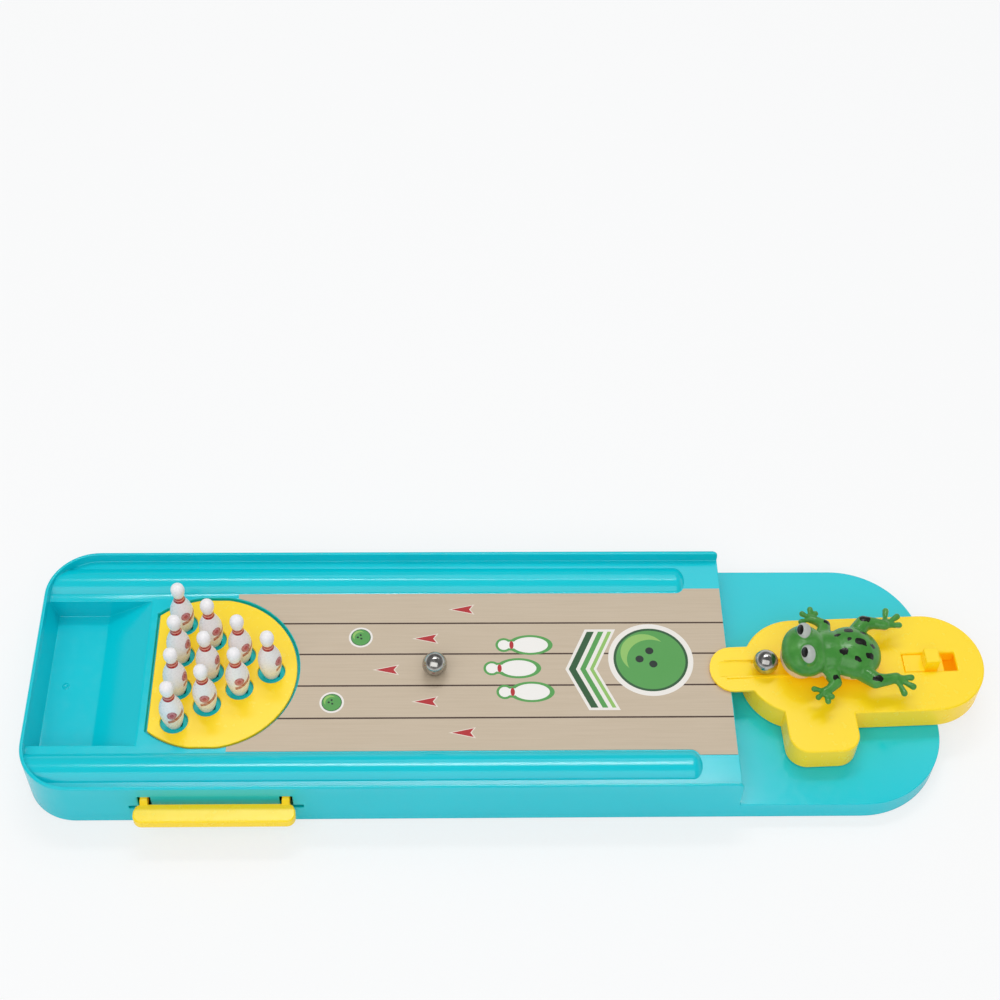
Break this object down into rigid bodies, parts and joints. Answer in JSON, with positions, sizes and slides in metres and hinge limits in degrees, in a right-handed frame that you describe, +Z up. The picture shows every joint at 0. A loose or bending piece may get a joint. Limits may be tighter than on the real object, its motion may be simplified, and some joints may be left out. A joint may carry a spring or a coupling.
{
  "type": "tabletop bowling game",
  "caption": "Toy bowling lane in a moulded tray, with captive pins, a lever that stands them up again, a ball pit and a swinging launcher whose sprung frog strikes a steel ball.",
  "frame": {"origin": "middle of the part's footprint, on the table", "axes": "+X along the lane from the ball pit to the launcher, +Y from the reset lever's side to the other, +Z up"},
  "size_m": [0.3418, 0.1084, 0.0417],
  "materials": {
    "tray_shell": "glossy cyan moulding",
    "lane_sheet": "printed satin sheet",
    "yellow_plastic": "glossy yellow moulding",
    "base_cover": "satin cyan moulding",
    "pin_plastic": "glossy white moulding",
    "frog_paint": "painted glossy green",
    "ball_steel": "polished steel",
    "plated_steel": "zinc plated"
  },
  "bodies": {
    "tray": {"tray_shell": "tray_shell", "lane_sheet": "lane_sheet", "base_cover": "base_cover", "base_screw_1": "plated_steel", "base_screw_2": "plated_steel", "base_screw_3": "plated_steel", "base_screw_4": "plated_steel"},
    "plate": {"lift_plate": "yellow_plastic"},
    "lever": {"reset_lever": "yellow_plastic"},
    "pin_a": {"pin_01": "pin_plastic"},
    "pin_b": {"pin_02": "pin_plastic"},
    "pin_c": {"pin_03": "pin_plastic"},
    "pin_d": {"pin_04": "pin_plastic"},
    "pin_e": {"pin_05": "pin_plastic"},
    "pin_f": {"pin_06": "pin_plastic"},
    "pin_g": {"pin_07": "pin_plastic"},
    "pin_h": {"pin_08": "pin_plastic"},
    "pin_i": {"pin_09": "pin_plastic"},
    "pin_j": {"pin_10": "pin_plastic"},
    "lane_ball": {"ball_lane": "ball_steel"},
    "launcher": {"launcher_body": "yellow_plastic", "launcher_cover": "yellow_plastic", "cover_screw_1": "plated_steel", "cover_screw_2": "plated_steel", "cover_screw_3": "plated_steel", "cover_screw_4": "plated_steel", "pivot_screw": "plated_steel", "pivot_washer": "plated_steel", "launch_spring": "plated_steel"},
    "slide": {"launch_slider": "yellow_plastic", "frog_figure": "frog_paint", "frog_screw": "plated_steel"},
    "launch_ball": {"ball_launcher": "ball_steel"}
  },
  "joints": [
    {"name": "lever_press", "type": "hinge", "parent": "tray", "child": "lever", "pos_m": [-0.10303, -0.0358, 0.0124], "axis": [1, 0, 0], "range_deg": [0, 15]},
    {"name": "plate_lift", "type": "slide", "parent": "tray", "child": "plate", "axis": [0, 0, 1], "range_m": [0, 0.0073]},
    {"name": "pin_01_tip", "type": "hinge", "parent": "tray", "child": "pin_a", "pos_m": [-0.08918, 0.0042, 0.0162], "axis": [0, 1, 0], "range_deg": [-30, 0]},
    {"name": "pin_02_tip", "type": "hinge", "parent": "tray", "child": "pin_b", "pos_m": [-0.10015, -0.00265, 0.0162], "axis": [0, 1, 0], "range_deg": [-30, 0]},
    {"name": "pin_03_tip", "type": "hinge", "parent": "tray", "child": "pin_c", "pos_m": [-0.10015, 0.01105, 0.0162], "axis": [0, 1, 0], "range_deg": [-30, 0]},
    {"name": "pin_04_tip", "type": "hinge", "parent": "tray", "child": "pin_d", "pos_m": [-0.11112, -0.0095, 0.0162], "axis": [0, 1, 0], "range_deg": [-30, 0]},
    {"name": "pin_05_tip", "type": "hinge", "parent": "tray", "child": "pin_e", "pos_m": [-0.11112, 0.0042, 0.0162], "axis": [0, 1, 0], "range_deg": [-30, 0]},
    {"name": "pin_06_tip", "type": "hinge", "parent": "tray", "child": "pin_f", "pos_m": [-0.11112, 0.0179, 0.0162], "axis": [0, 1, 0], "range_deg": [-30, 0]},
    {"name": "pin_07_tip", "type": "hinge", "parent": "tray", "child": "pin_g", "pos_m": [-0.12209, -0.01635, 0.0162], "axis": [0, 1, 0], "range_deg": [-30, 0]},
    {"name": "pin_08_tip", "type": "hinge", "parent": "tray", "child": "pin_h", "pos_m": [-0.12209, -0.00265, 0.0162], "axis": [0, 1, 0], "range_deg": [-30, 0]},
    {"name": "pin_09_tip", "type": "hinge", "parent": "tray", "child": "pin_i", "pos_m": [-0.12209, 0.01105, 0.0162], "axis": [0, 1, 0], "range_deg": [-30, 0]},
    {"name": "pin_10_tip", "type": "hinge", "parent": "tray", "child": "pin_j", "pos_m": [-0.12209, 0.02475, 0.0162], "axis": [0, 1, 0], "range_deg": [-30, 0]},
    {"name": "lane_ball_roll", "type": "slide", "parent": "tray", "child": "lane_ball", "axis": [1, 0, 0], "range_m": [-0.048, 0.085]},
    {"name": "launcher_aim", "type": "hinge", "parent": "tray", "child": "launcher", "pos_m": [0.10362, 0.0042, 0.0088], "axis": [0, 0, 1], "range_deg": [-12.2, 7.8]},
    {"name": "launch_pull", "type": "slide", "parent": "launcher", "child": "slide", "axis": [0.9993, 0.0384, 0], "range_m": [0, 0.0065], "stiffness_N_per_m": 300, "springref_m": -0.002, "deforming": ["launch_spring"]},
    {"name": "launch_ball_roll", "type": "slide", "parent": "launcher", "child": "launch_ball", "axis": [0.9973, 0.0383, -0.0628], "range_m": [-0.0243, 0]}
  ],
  "couplings": [
    {"joint": "plate_lift", "follows": "lever_press", "m_per_rad": 0.0274}
  ]
}
